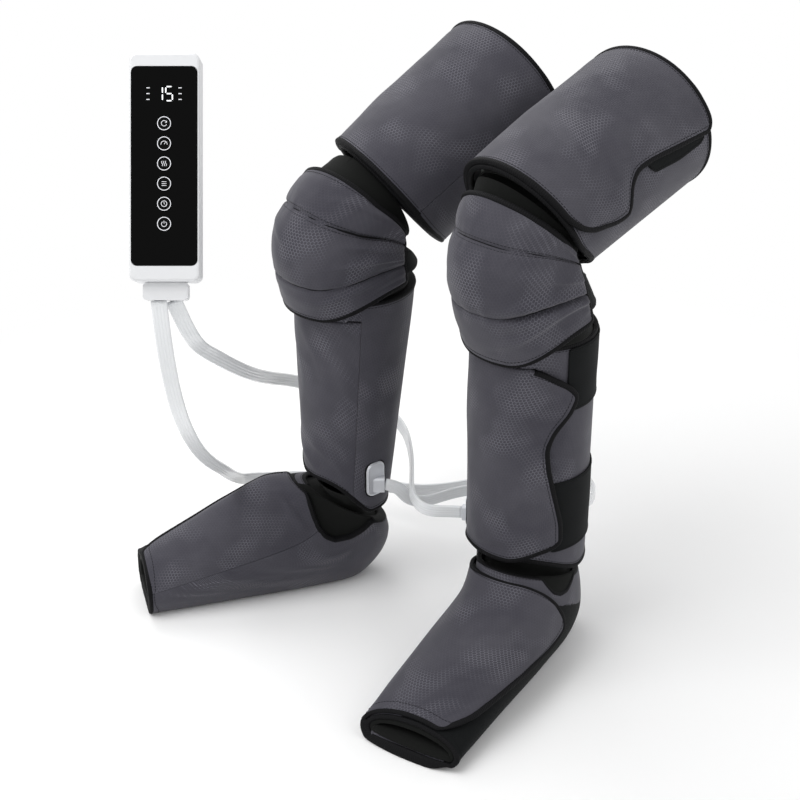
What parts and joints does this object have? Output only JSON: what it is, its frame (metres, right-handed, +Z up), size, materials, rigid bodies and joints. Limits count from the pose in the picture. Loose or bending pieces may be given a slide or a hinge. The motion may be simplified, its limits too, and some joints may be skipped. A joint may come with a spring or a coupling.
{
  "type": "air compression leg massager",
  "caption": "Pair of padded full-leg air compression wraps with foot, calf, knee and thigh sections, air hoses and a hand controller.",
  "frame": {"origin": "on the floor, midway between the vertical axes of the two calves, where the worn wraps are held", "axes": "+X to the wearer's left, +Y to the wearer's back, +Z up; the wearer sits facing -Y with both soles flat on z = 0"},
  "size_m": [0.5452, 0.6686, 0.7539],
  "materials": {
    "gray_cloth": "matte woven cloth embossed with small hexagons",
    "lining_cloth": "matte black knitted cloth",
    "bladder_cloth": "coated cloth",
    "heater_film": "matte",
    "gland_plastic": "silver gray, satin",
    "hose_plastic": "pale, slightly clear and ribbed along its length",
    "white_plastic": "white satin",
    "inner_plastic": "matte",
    "black_gloss": "near black, glossy",
    "key_plastic": "black gloss",
    "steel": "plain",
    "board_resin": "matte green",
    "battery_wrap": "shrink wrap"
  },
  "bodies": {
    "wraps": {"right_calf_cover": "gray_cloth", "right_calf_bladder": "bladder_cloth", "right_calf_lining": "lining_cloth", "right_calf_band_upper": "lining_cloth", "right_calf_band_lower": "lining_cloth", "right_knee_cover": "gray_cloth", "right_knee_heater": "heater_film", "right_knee_lining": "lining_cloth", "right_knee_strap": "lining_cloth", "right_ankle_gusset": "lining_cloth", "right_hose_gland": "gland_plastic", "left_calf_cover": "gray_cloth", "left_calf_bladder": "bladder_cloth", "left_calf_lining": "lining_cloth", "left_calf_band_upper": "lining_cloth", "left_calf_band_lower": "lining_cloth", "left_knee_cover": "gray_cloth", "left_knee_heater": "heater_film", "left_knee_lining": "lining_cloth", "left_knee_strap": "lining_cloth", "left_ankle_gusset": "lining_cloth", "left_hose_gland": "gland_plastic", "hose_right": "hose_plastic", "hose_left": "hose_plastic", "hose_plug": "white_plastic"},
    "right_thigh": {"right_thigh_cover": "gray_cloth", "right_thigh_bladder": "bladder_cloth", "right_thigh_lining": "lining_cloth"},
    "right_thigh_flap": {"right_thigh_flap": "gray_cloth"},
    "right_calf_flap": {"right_calf_flap": "gray_cloth"},
    "right_foot": {"right_foot_cover": "gray_cloth", "right_foot_bladder": "bladder_cloth", "right_foot_lining": "lining_cloth"},
    "right_foot_flap": {"right_foot_flap": "gray_cloth"},
    "left_thigh": {"left_thigh_cover": "gray_cloth", "left_thigh_bladder": "bladder_cloth", "left_thigh_lining": "lining_cloth"},
    "left_thigh_flap": {"left_thigh_flap": "gray_cloth"},
    "left_calf_flap": {"left_calf_flap": "gray_cloth"},
    "left_foot": {"left_foot_cover": "gray_cloth", "left_foot_bladder": "bladder_cloth", "left_foot_lining": "lining_cloth"},
    "left_foot_flap": {"left_foot_flap": "gray_cloth"},
    "controller": {"case_front": "white_plastic", "case_rear": "white_plastic", "touch_panel": "black_gloss", "circuit_board": "board_resin", "air_pump": "steel", "valve_block": "inner_plastic", "battery_pack": "battery_wrap", "case_screw_1": "steel", "case_screw_2": "steel", "case_screw_3": "steel", "case_screw_4": "steel"},
    "key_mode": {"key_mode": "key_plastic"},
    "key_pressure": {"key_pressure": "key_plastic"},
    "key_heat": {"key_heat": "key_plastic"},
    "key_zone": {"key_zone": "key_plastic"},
    "key_timer": {"key_timer": "key_plastic"},
    "key_power": {"key_power": "key_plastic"}
  },
  "joints": [
    {"name": "controller_pull", "type": "slide", "parent": "wraps", "child": "controller", "axis": [-0.3322, 0.3208, 0.887], "range_m": [0, 0.03]},
    {"name": "key_mode_press", "type": "slide", "parent": "controller", "child": "key_mode", "axis": [-0.6381, 0.6162, -0.4617], "range_m": [0, 0.0008], "stiffness_N_per_m": 900},
    {"name": "key_pressure_press", "type": "slide", "parent": "controller", "child": "key_pressure", "axis": [-0.6381, 0.6162, -0.4617], "range_m": [0, 0.0008], "stiffness_N_per_m": 900},
    {"name": "key_heat_press", "type": "slide", "parent": "controller", "child": "key_heat", "axis": [-0.6381, 0.6162, -0.4617], "range_m": [0, 0.0008], "stiffness_N_per_m": 900},
    {"name": "key_zone_press", "type": "slide", "parent": "controller", "child": "key_zone", "axis": [-0.6381, 0.6162, -0.4617], "range_m": [0, 0.0008], "stiffness_N_per_m": 900},
    {"name": "key_timer_press", "type": "slide", "parent": "controller", "child": "key_timer", "axis": [-0.6381, 0.6162, -0.4617], "range_m": [0, 0.0008], "stiffness_N_per_m": 900},
    {"name": "key_power_press", "type": "slide", "parent": "controller", "child": "key_power", "axis": [-0.6381, 0.6162, -0.4617], "range_m": [0, 0.0008], "stiffness_N_per_m": 900},
    {"name": "right_knee_bend", "type": "hinge", "parent": "wraps", "child": "right_thigh", "pos_m": [-0.119, -0.012, 0.478], "axis": [0.9974, -0.0715, 0], "range_deg": [-25, 60], "deforming": ["right_knee_cover", "right_knee_heater", "right_knee_lining", "right_knee_strap"]},
    {"name": "right_ankle_bend", "type": "hinge", "parent": "wraps", "child": "right_foot", "pos_m": [-0.12377, -0.04279, 0.075], "axis": [0.8788, -0.4772, 0], "range_deg": [-6, 15], "deforming": ["right_ankle_gusset"]},
    {"name": "left_knee_bend", "type": "hinge", "parent": "wraps", "child": "left_thigh", "pos_m": [0.119, 0, 0.505], "axis": [0.9979, 0.0645, 0], "range_deg": [-20, 65], "deforming": ["left_knee_cover", "left_knee_heater", "left_knee_lining", "left_knee_strap"]},
    {"name": "left_ankle_bend", "type": "hinge", "parent": "wraps", "child": "left_foot", "pos_m": [0.12125, 0.02426, 0.075], "axis": [0.9744, 0.225, 0], "range_deg": [-10, 15], "deforming": ["left_ankle_gusset"]},
    {"name": "right_calf_flap_open", "type": "hinge", "parent": "wraps", "child": "right_calf_flap", "pos_m": [-0.06792, -0.06683, 0.275], "axis": [0.0611, 0.0137, 0.998], "range_deg": [0, 28]},
    {"name": "right_thigh_flap_open", "type": "hinge", "parent": "right_thigh", "child": "right_thigh_flap", "pos_m": [-0.02391, 0.09939, 0.55982], "axis": [0.0914, 0.8857, 0.4552], "range_deg": [0, 55]},
    {"name": "right_foot_flap_open", "type": "hinge", "parent": "right_foot", "child": "right_foot_flap", "pos_m": [-0.13689, -0.1435, 0.07353], "axis": [0.4642, 0.855, 0.2312], "range_deg": [0, 40]},
    {"name": "left_calf_flap_open", "type": "hinge", "parent": "wraps", "child": "left_calf_flap", "pos_m": [0.05856, -0.00887, 0.2655], "axis": [0.0028, 0.002, -1], "range_deg": [0, 55]},
    {"name": "left_thigh_flap_open", "type": "hinge", "parent": "left_thigh", "child": "left_thigh_flap", "pos_m": [0.0244, 0.11144, 0.5866], "axis": [0.0881, -0.9616, -0.2599], "range_deg": [0, 55]},
    {"name": "left_foot_flap_open", "type": "hinge", "parent": "left_foot", "child": "left_foot_flap", "pos_m": [0.08994, -0.08299, 0.05018], "axis": [0.2217, -0.9602, -0.1702], "range_deg": [0, 22]}
  ]
}
